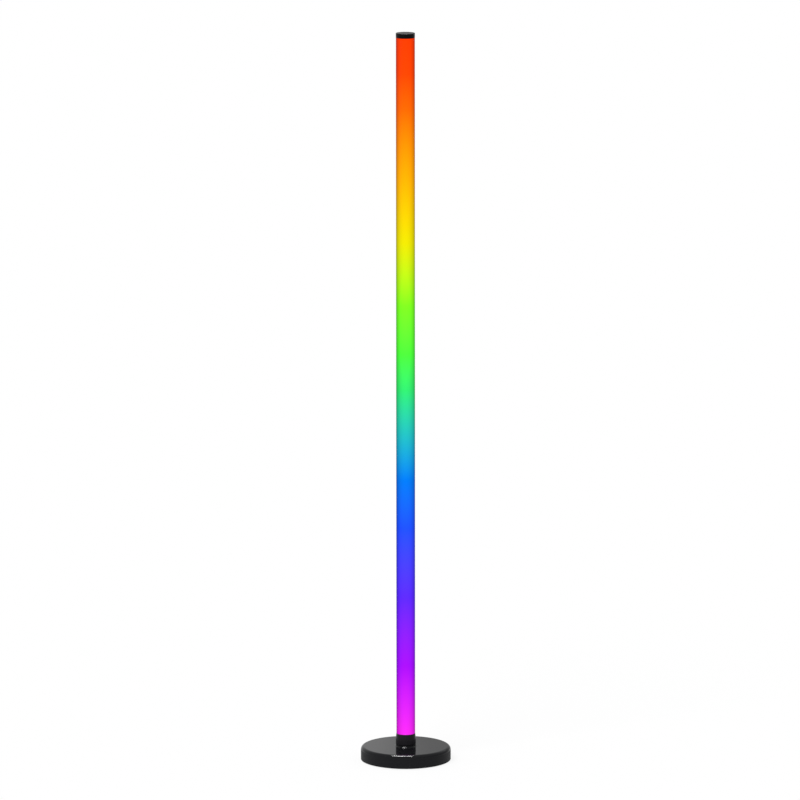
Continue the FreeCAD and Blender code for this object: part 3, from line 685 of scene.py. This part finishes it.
def makeInletTool(radius):  # the round opening in the rim, flared outwards
    flare = shell["inletFlare"]
    tool = makeRod(shell["inletHole"], (0, housingHigh.y, inletHeight),
                   (0, radius - flare, inletHeight), shell["inletSteps"])
    ahead = [face for face in tool.faces if face.normal.y > facing]
    grown = bmesh.ops.extrude_face_region(tool, geom=ahead)["geom"]
    bmesh.ops.delete(tool, geom=ahead, context="FACES_ONLY")
    rim = [item for item in grown if isinstance(item, bmesh.types.BMVert)]
    wider = 1 + 2 * flare / shell["inletHole"]
    bmesh.ops.scale(tool, vec=(wider, 1, wider), verts=rim,
                    space=Matrix.Translation((0, 0, -inletHeight)))
    bmesh.ops.translate(tool, vec=(0, 2 * flare, 0), verts=rim)
    bmesh.ops.recalc_face_normals(tool, faces=tool.faces)
    return tool


def addSleeve(mesh, x, y, low, high, outer, pilot):  # a screw boss with its pilot hole
    deep = low + min(shell["pilotDepth"], shell["pilotShare"] * (high - low))
    top = high + shell["sunk"]
    boss = spinProfile([
        (pilot, low), (outer, low), (outer, top), (0, top), (0, deep), (pilot, deep)],
        shell["bossSteps"])
    bmesh.ops.translate(boss, vec=(x, y, 0), verts=boss.verts)
    mergeInto(mesh, boss)


def addCradle(mesh, cavity, under):  # walls that hold the power inlet
    side = housingHigh.x + shell["clearance"]
    low = housingLow.z - shell["cradleDrop"]
    rear = housingLow.y - shell["clearance"]
    above = housingHigh.z + shell["clearance"]
    wall = shell["cradleWall"]
    start = rear - wall
    middle = side + wall / 2
    top = under + shell["sunk"]
    addBlock(mesh, (-side - wall, start, low), (-side, cavity, top))
    addBlock(mesh, (side, start, low), (side + wall, cavity, top))
    addBlock(mesh, (-middle, start, above), (middle, cavity, top))
    addBlock(mesh, (-middle, start, inletHeight + shell["cradleStop"]),
             (middle, rear, above + wall / 2))


makeBaseShell()
print("base shell done")

pad = {"steps": 200, "width": 0.014, "grooves": 3, "grooveWidth": 0.0009, "grooveDepth": 0.0005,
       "edge": (0.0003, 3)}


def makeFootPad():  # anti-slip ring with shallow treads underneath
    low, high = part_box("foot_pad")
    outer = high.x
    inner = outer - pad["width"]
    roof = low.z + pad["grooveDepth"]
    pitch = pad["width"] / (pad["grooves"] + 1)
    corners = [(inner, high.z), (outer, high.z), (outer, low.z)]
    for k in range(pad["grooves"]):
        near = outer - pitch * (k + 1) + pad["grooveWidth"] / 2
        far = near - pad["grooveWidth"]
        corners += [(near, low.z), (near, roof), (far, roof), (far, low.z)]
    mesh = spinProfile([*corners, (inner, low.z)], pad["steps"])
    for radius in (outer, inner):
        bevelRing(mesh, radius, low.z, *pad["edge"])
    finishPiece(mesh, "footPad", "pad_rubber", "foot_pad")


makeFootPad()
print("foot pad done")


# screws

screwKinds = {  # shank radius, length, head radius, head height, thread pitch, recess half length
    "plate": (0.0015, 0.011, 0.003, 0.0019, 0.0011, 0.0017),
    "plug": (0.0012, 0.009, 0.0022, 0.0018, 0.0009, 0.0013),
    "board": (0.001, 0.005, 0.0019, 0.0014, 0.0008, 0.0011),
    "joiner": (0.0015, 0.0042, 0.0028, 0.001, 0.0005, 0.0016),
}
screwShape = {
    "steps": 40, "crownSteps": 4, "brimSteps": 3,
    "crown": 0.72,  # the head's flat top, of its radius
    "brim": 0.5,  # where the head gets widest, of its height
    "rounding": 0.25,  # of the head's height
    "recessDepth": 0.55,  # likewise
    "recessWidth": 0.26,  # of its length
    "recessTaper": 0.55,  # at its end
    "threadDepth": 0.12,  # of the shank's radius
    "threadStart": 1.5,  # turns below the head
}
thread = {
    "sunk": 0.00005,  # how far the ridge reaches into the shank
    "halfWidth": 0.33,  # of the pitch
    "steps": 24,  # in a turn
}


def makeScrew(kind):  # points up from its head, which hangs below the origin
    shank, length, head, headHeight, pitch, recess = screwKinds[kind]
    core = shank * (1 - screwShape["threadDepth"])
    crown = head * screwShape["crown"]
    brim = -headHeight * screwShape["brim"]
    rounding = headHeight * screwShape["rounding"]
    mesh = spinProfile([
        (0, -headHeight), (crown, -headHeight), (head, brim), (head, 0), (core, 0),
        (core, length - shank), (0, length)], screwShape["steps"])
    bevelRing(mesh, crown, -headHeight, rounding, screwShape["crownSteps"])
    bevelRing(mesh, head, brim, rounding, screwShape["brimSteps"])
    arm = Vector((
        recess, recess * screwShape["recessWidth"], headHeight * screwShape["recessDepth"]))
    taper = screwShape["recessTaper"]
    tools = []
    for turn in (0, math.pi / 2):
        tool = bmesh.new()
        addBlock(tool, -arm, arm, turn)
        deep = [vert for vert in tool.verts if vert.co.z > 0]
        bmesh.ops.scale(tool, vec=(taper, taper, 1), verts=deep)
        bmesh.ops.translate(tool, vec=(0, 0, -headHeight), verts=tool.verts)
        tools.append(tool)
    return addThread(cutAway(mesh, *tools), core, shank, pitch * screwShape["threadStart"],
                     length - shank, pitch)


def addThread(mesh, core, crest, low, high, pitch):  # a ridge that climbs round a shank
    turns = (high - low) / pitch
    steps = int(turns * thread["steps"])
    root, half = core - thread["sunk"], thread["halfWidth"]
    ridge = bmesh.new()
    start = [ridge.verts.new((radius, 0, low + rise * pitch))
             for radius, rise in ((root, -half), (crest, 0), (root, half))]
    sides = [ridge.edges.new(pair) for pair in zip(start, start[1:] + start[:1])]
    last = bmesh.ops.spin(
        ridge, geom=start + sides, cent=(0, 0, 0), axis=upAxis, angle=math.tau * turns,
        steps=steps, dvec=(0, 0, (high - low) / steps))["geom_last"]
    ridge.faces.new(start)
    ridge.faces.new([vert for vert in last if isinstance(vert, bmesh.types.BMVert)])
    bmesh.ops.recalc_face_normals(ridge, faces=ridge.faces)
    return joinSolids(mesh, ridge)


def placeScrews(name, slotName, kind, node, places):  # places are for the heads' undersides
    joined = bmesh.new()
    template = makeScrew(kind)
    for place in places:
        screw = template.copy()
        bmesh.ops.transform(screw, matrix=place, verts=screw.verts)
        mergeInto(joined, screw)
    template.free()
    finishPiece(joined, name, slotName, node)


def headHeightOf(kind):
    return screwKinds[kind][3]


driven = {"plate": 0.4, "board": 0.7}  # how much further than the last each screw is turned
portOffset = 0.0062  # of the plugs' screws from the middle
joinerStep = 0.016  # of the joiners' screws from the joint
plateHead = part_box("bottom_plate_screws")[0].z + headHeightOf("plate")
placeScrews("plateScrews", "screw_steel", "plate", "bottom_plate_screws", [
    standAt(x, y, plateHead, driven["plate"] * k) for k, (x, y) in enumerate(plateScrewPlaces)])
placeScrews("boardScrews", "stem_steel", "board", "board_screws", [
    standAt(x, y, boardLow.z, driven["board"] * k) for k, (x, y) in enumerate(boardScrewPlaces)])
plugScrewLow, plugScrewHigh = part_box("plug_screws")
placeScrews("plugScrews", "stem_steel", "plug", "plug_screws", [
    standAt(x, 0, z, turn, "Y")
    for z, turn in ((plugScrewLow.z + headHeightOf("plug"), 0.0),
                    (plugScrewHigh.z - headHeightOf("plug"), math.pi))
    for x in (-portOffset, portOffset)])
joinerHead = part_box("joiner_screws")[1].y - headHeightOf("joiner")
placeScrews("joinerScrews", "stem_steel", "joiner", "joiner_screws", [
    standAt(0, joinerHead, joint.z + side * joinerStep, math.pi / 2, "X")
    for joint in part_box("core_middle") for side in (-1, 1)])
print("screws done")


# stem

stem = {"steps": 96, "bore": 0.00375, "crest": 0.00499, "root": 0.0046, "pitch": 0.001,
        "edge": (0.0003, 2)}


def makeStem():  # hollow threaded stem that clamps collar, shell and weight
    low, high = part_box("stem_nipple")
    bore, root, pitch = stem["bore"], stem["root"], stem["pitch"]
    mesh = spinSleeve(bore, root, low, high, stem["steps"])
    for height in (low.z, high.z):
        bevelRing(mesh, bore, height, *stem["edge"])
    mesh = addThread(mesh, root, stem["crest"], low.z + pitch, high.z - pitch, pitch)
    finishPiece(mesh, "stemNipple", "stem_steel", "stem_nipple")


nut = {
    "bore": (0.0051, 64),  # radius and steps
    "steps": 96,
    "face": 0.96,  # the flat face, of the width across the flats
    "cornerDrop": 0.6,  # how far the corners are turned down, of what they stand out
    "toolRadius": 1.5,  # of the corner's
}


def makeNut():  # hexagon nut with its corners turned off
    low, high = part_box("stem_nut")
    corner, flat = high.x, high.y
    mesh = bmesh.new()
    bmesh.ops.create_cone(
        mesh, cap_ends=True, segments=6, radius1=corner, radius2=corner, depth=high.z - low.z,
        matrix=standAt(0, 0, (low.z + high.z) / 2, math.pi / 2))
    drop = (corner - flat) * nut["cornerDrop"]
    face = flat * nut["face"]
    outside = corner * nut["toolRadius"]
    below, over = low.z - overshoot, high.z + overshoot
    turning = spinProfile([
        (face, over), (face, high.z), (corner, high.z - drop), (corner, low.z + drop),
        (face, low.z), (face, below), (outside, below), (outside, over)], nut["steps"])
    radius, steps = nut["bore"]
    bore = makeRod(radius, (0, 0, below), (0, 0, over), steps)
    finishPiece(cutAway(mesh, turning, bore), "stemNut", "stem_steel", "stem_nut")


washer = {"bore": 0.00525, "edge": (0.00015, 2)}


def makeWasher():
    low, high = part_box("stem_washer")
    mesh = spinSleeve(washer["bore"], high.x, low, high, stem["steps"])
    for height in (low.z, high.z):
        bevelRing(mesh, high.x, height, *washer["edge"])
    finishPiece(mesh, "stemWasher", "stem_steel", "stem_washer")


makeStem()
makeNut()
makeWasher()
print("stem done")


# power inlet

inlet = {
    "bore": 0.00325, "boreDepth": 0.0096, "boreSteps": 72,
    "edge": 0.00035, "edgeSteps": 3, "flange": 0.0034,
    "overlap": 0.0001,  # of the body and the flange
    "pinRadius": 0.001, "pinTip": (0.0006, 6), "pinSteps": 48,
    "shankRadius": 0.0013, "shankGap": 0.00005,
    "tab": (0.0012, 0.00025),  # half width and half thickness
    "slot": (0.0016, 0.0010),  # half width, and how far it goes below the bore
}


def makeInletHousing():
    low, high = housingLow, housingHigh
    flangeRear = high.y - inlet["flange"]
    bodyEnd = flangeRear + inlet["overlap"]
    behind = low.y - overshoot
    bore, edge, steps = inlet["bore"], inlet["edge"], inlet["boreSteps"]

    def place(y):  # on the inlet's axis
        return (0, y, inletHeight)
    mesh = bmesh.new()
    addBlock(mesh, (low.x, flangeRear, low.z), high)
    bevelAll(mesh, edge, inlet["edgeSteps"])
    addBlock(mesh, (low.x, low.y, low.z), (high.x, bodyEnd, inletHeight))
    barrel = makeRod(high.x, place(low.y), place(bodyEnd), steps)
    mouth = makeRod(bore, place(high.y - inlet["boreDepth"]), place(high.y + overshoot), steps)
    easing = makeRod(bore, place(high.y - edge), place(high.y + edge), steps, bore + 2 * edge)
    shank = makeRod(inlet["shankRadius"] + inlet["shankGap"], place(behind), place(high.y),
                    inlet["pinSteps"])
    halfSlot, slotDepth = inlet["slot"]
    slot = bmesh.new()
    addBlock(slot, (-halfSlot, behind, inletHeight - bore - slotDepth),
             (halfSlot, flangeRear, inletHeight))
    mesh = cutAway(joinSolids(mesh, barrel), mouth, easing, shank, slot)
    finishPiece(mesh, "inletHousing", "inlet_black", "inlet_housing")


def makeInletPin():  # centre pin with a rounded tip, its shank and its solder tab
    rear, tip = housingLow.y, pinHigh.y
    floor = housingHigh.y - inlet["boreDepth"]
    radius, shank = inlet["pinRadius"], inlet["shankRadius"]
    mesh = spinProfile([
        (0, tip), (radius, tip), (radius, floor), (shank, floor), (shank, rear), (0, rear)],
        inlet["pinSteps"])
    bevelRing(mesh, radius, tip, *inlet["pinTip"])
    layDown(mesh, inletHeight)
    halfWidth, halfThick = inlet["tab"]
    tab = bmesh.new()
    addBlock(tab, (-halfWidth, pinLow.y, inletHeight - halfThick),
             (halfWidth, rear + halfThick, inletHeight + halfThick))
    finishPiece(joinSolids(mesh, tab), "inletPin", "contact_brass", "inlet_pin")


makeInletHousing()
makeInletPin()
print("power inlet done")


# light strips

def makePackages(name, node):  # square packages with a sunk window
    low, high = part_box(node)
    outward = 1 if high.y > 0 else -1
    half = strips["packageWidth"] / 2
    mesh = bmesh.new()
    for k in range(packageCount):
        centre = firstPackage + strips["pitch"] * k
        verts = addBlock(mesh, (-half, low.y, centre - half), (half, high.y, centre + half))
        front = [face for face in {face for vert in verts for face in vert.link_faces}
                 if face.normal.y * outward > facing]
        bmesh.ops.inset_individual(mesh, faces=front, thickness=half - strips["window"], depth=0)
        bmesh.ops.inset_individual(mesh, faces=front, thickness=strips["windowEdge"],
                                   depth=-strips["windowDepth"])
    finishPiece(mesh, name, "led_package", node)


makePackages("frontPackages", "front_leds")
makePackages("rearPackages", "rear_leds")
print("light strips done:", packageCount, "packages each")


# column

collar = {
    "steps": 192, "foot": (0.0018, 10), "shoulder": (0.0030, 6), "lip": (0.0004, 4),
    "taper": 0.0095, "topRadius": 0.018, "spigotRadius": 0.01585, "spigotHeight": 0.004,
    "plugRadius": 0.013, "chamberRadius": 0.0115, "chamberFloor": 0.005, "stemHole": 0.00525,
    "screwHole": (0.00205, 64),  # radius and steps
    "screwHoleStart": 0.008,  # inside the cup
}


def makeCollar():
    low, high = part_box("collar")
    lip = high.z - collar["spigotHeight"]
    shoulder = lip - collar["taper"]
    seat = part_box("core_plug_lower")[0].z
    floor = low.z + collar["chamberFloor"]
    stemHole, topRadius, spigot = collar["stemHole"], collar["topRadius"], collar["spigotRadius"]
    plug, chamber = collar["plugRadius"], collar["chamberRadius"]
    mesh = spinProfile([
        (stemHole, low.z), (high.x, low.z), (high.x, shoulder), (topRadius, lip), (spigot, lip),
        (spigot, high.z), (plug, high.z), (plug, seat), (chamber, seat), (chamber, floor),
        (stemHole, floor)], collar["steps"])
    bevelRing(mesh, high.x, low.z, *collar["foot"])
    bevelRing(mesh, high.x, shoulder, *collar["shoulder"])
    bevelRing(mesh, topRadius, lip, *collar["lip"])
    setLow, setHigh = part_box("collar_set_screw")
    height = (setLow.z + setHigh.z) / 2
    radius, steps = collar["screwHole"]
    hole = makeRod(radius, (0, collar["screwHoleStart"], height),
                   (0, high.y + 2 * overshoot, height), steps)
    finishPiece(cutAway(mesh, hole), "lampCollar", "collar_black", "collar")


setScrew = {
    "steps": 48,
    "point": (0.6, 0.0006),  # its flat end, of the radius, and its length
    "edge": (0.0003, 3),
    "key": (0.00115, 0.002),  # the socket's corner radius and depth
}


def makeSetScrew():  # headless screw with a hexagon socket
    low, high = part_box("collar_set_screw")
    height = (low.z + high.z) / 2
    radius = high.x
    flat, point = setScrew["point"]
    mesh = spinProfile([
        (0, low.y), (radius * flat, low.y), (radius, low.y + point), (radius, high.y),
        (0, high.y)], setScrew["steps"])
    bevelRing(mesh, radius, high.y, *setScrew["edge"])
    layDown(mesh, height)
    keyRadius, keyDepth = setScrew["key"]
    key = makeRod(keyRadius, (0, high.y - keyDepth, height), (0, high.y + overshoot, height), 6)
    finishPiece(cutAway(mesh, key), "collarSetScrew", "screw_steel", "collar_set_screw")


tube = {"steps": 192, "wall": 0.0018, "edge": (0.00025, 2)}


def makeTube():
    low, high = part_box("diffuser_tube")
    outer = high.x
    mesh = spinSleeve(outer - tube["wall"], outer, low, high, tube["steps"])
    for height in (low.z, high.z):
        bevelRing(mesh, outer, height, *tube["edge"])
    finishPiece(mesh, "diffuserTube", "diffuser_opal", "diffuser_tube")


cap = {"steps": 192, "height": 0.0088, "roof": 0.0025, "edge": (0.0003, 6), "lip": (0.0003, 3),
       "spigotRadius": 0.01585, "plugRadius": 0.013}


def makeCap():
    low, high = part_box("top_cap")
    outer, spigot, plug = high.x, cap["spigotRadius"], cap["plugRadius"]
    lip = high.z - cap["height"]
    roof = high.z - cap["roof"]
    mesh = spinProfile([
        (0, high.z), (outer, high.z), (outer, lip), (spigot, lip), (spigot, low.z), (plug, low.z),
        (plug, roof), (0, roof)], cap["steps"])
    bevelRing(mesh, outer, high.z, *cap["edge"])
    bevelRing(mesh, outer, lip, *cap["lip"])
    finishPiece(mesh, "topCap", "cap_black", "top_cap")


makeCollar()
makeSetScrew()
makeTube()
makeCap()
print("column done")


# floor, light and camera

studio = {
    "floorSize": 60,
    "floorDrop": 0.0001,  # a hair below the pad
    "floorTone": (0.97, 0.97, 0.97),
    "floorPure": 0.87,  # its share of plain white to the eye; the rest holds the shadow
    "fill": 0.60,  # the room's even light
    "sun": (1.75, 30, (-24, 32)),  # strength, how wide it looks, degrees aside and to the front
    "strip": (1.6, 0.8, (-0.30, -0.02, 3.4), 620),  # light over the base: size, place, power
    "wall": (25, 12, 96),  # radius, height and steps of the grey wall that the gloss mirrors
    "wallTone": (0.90, 0.55),  # at the left and at the right
    "wallBlend": 0.3,  # how wide the change between the tones is
}


def stageMaterial(name):  # no nodes but its output
    material = bpy.data.materials.new(name)
    material.use_nodes = True
    tree = material.node_tree
    tree.nodes.clear()
    return material, tree, tree.nodes.new("ShaderNodeOutputMaterial").inputs["Surface"]


def mixShaders(tree, factor, first, second, surface):
    mix = tree.nodes.new("ShaderNodeMixShader")
    for source, socket in ((factor, mix.inputs["Fac"]), (first.outputs[0], mix.inputs[1]),
                           (second.outputs[0], mix.inputs[2]), (mix.outputs[0], surface)):
        tree.links.new(source, socket)


def seenRay(tree):  # 1 where the camera, a mirror or glass looks
    path = tree.nodes.new("ShaderNodeLightPath").outputs
    mirrored = addMath(tree, "MAXIMUM", path["Is Glossy Ray"], path["Is Transmission Ray"])
    return addMath(tree, "MAXIMUM", path["Is Camera Ray"], mirrored)


def makeFloor():
    mesh = bmesh.new()
    bmesh.ops.create_grid(mesh, x_segments=1, y_segments=1, size=studio["floorSize"] / 2,
                          matrix=standAt(0, 0, -studio["floorDrop"]))
    floor = meshObject(mesh, "studioFloor")
    material, tree, surface = stageMaterial("studio_floor")
    matt = tree.nodes.new("ShaderNodeBsdfDiffuse")
    matt.inputs["Color"].default_value = (*studio["floorTone"], 1)
    pure = tree.nodes.new("ShaderNodeEmission")
    share = addMath(tree, "MULTIPLY", seenRay(tree), studio["floorPure"])
    mixShaders(tree, share, matt, pure, surface)
    floor.data.materials.append(material)


def makeWorld():
    world = bpy.data.worlds.new("studioWorld")
    bpy.context.scene.world = world
    world.use_nodes = True
    tree = world.node_tree
    light = tree.nodes["Background"]
    light.inputs["Strength"].default_value = studio["fill"]
    pure = tree.nodes.new("ShaderNodeBackground")
    for background in (light, pure):
        background.inputs["Color"].default_value = (1, 1, 1, 1)
    mixShaders(tree, seenRay(tree), light, pure, tree.nodes["World Output"].inputs["Surface"])


def addLight(name, kind, power):
    light = addObject(name, bpy.data.lights.new(name, kind))
    light.data.energy = power
    return light


def makeSun():
    strength, width, (aside, ahead) = studio["sun"]
    sun = addLight("softSun", "SUN", strength)
    sun.data.angle = math.radians(width)
    sun.rotation_euler = (math.radians(ahead), math.radians(aside), 0)
    sun.visible_glossy = False


def makeStripLight():  # gives the gloss its highlight and nothing else
    across, along, place, power = studio["strip"]
    strip = addLight("stripLight", "AREA", power)
    strip.data.shape = "RECTANGLE"
    strip.data.size, strip.data.size_y = across, along
    strip.location = place
    strip.visible_diffuse = False


def makeWall():  # stands far round the set, beyond the camera
    radius, height, steps = studio["wall"]
    mesh = bmesh.new()
    bmesh.ops.create_cone(mesh, cap_ends=False, segments=steps, radius1=radius, radius2=radius,
                          depth=height, matrix=standAt(0, 0, height / 2))
    wall = meshObject(mesh, "studioWall")
    material, tree, surface = stageMaterial("studio_wall")
    grey = tree.nodes.new("ShaderNodeEmission")
    half = studio["wallBlend"] / 2
    place = splitVector(tree, objectVector(tree))
    tree.links.new(mapRange(tree, place["X"], -half, half, *studio["wallTone"]),
                   grey.inputs["Strength"])
    tree.links.new(grey.outputs[0], surface)
    wall.data.materials.append(material)
    wall.visible_camera = wall.visible_diffuse = wall.visible_shadow = False


view = {"distance": 12.898, "height": 3.061, "aside": -0.0106, "pitchDown": 10.376, "roll": -0.045,
        "lens": 311.2, "sensor": 36, "reach": 200}


def makeCamera():
    data = bpy.data.cameras.new("camera")
    data.lens = view["lens"]
    data.sensor_width = view["sensor"]
    data.clip_end = view["reach"]
    camera = addObject("camera", data)
    camera.location = (view["aside"], -view["distance"], view["height"])
    aim = Matrix.Rotation(math.radians(90 - view["pitchDown"]), 3, "X")
    camera.rotation_euler = (aim @ Matrix.Rotation(math.radians(view["roll"]), 3, "Z")).to_euler()
    bpy.context.scene.camera = camera


makeFloor()
makeWorld()
makeSun()
makeStripLight()
makeWall()
makeCamera()
bpy.context.scene.view_settings.view_transform = "Standard"
print("studio done")
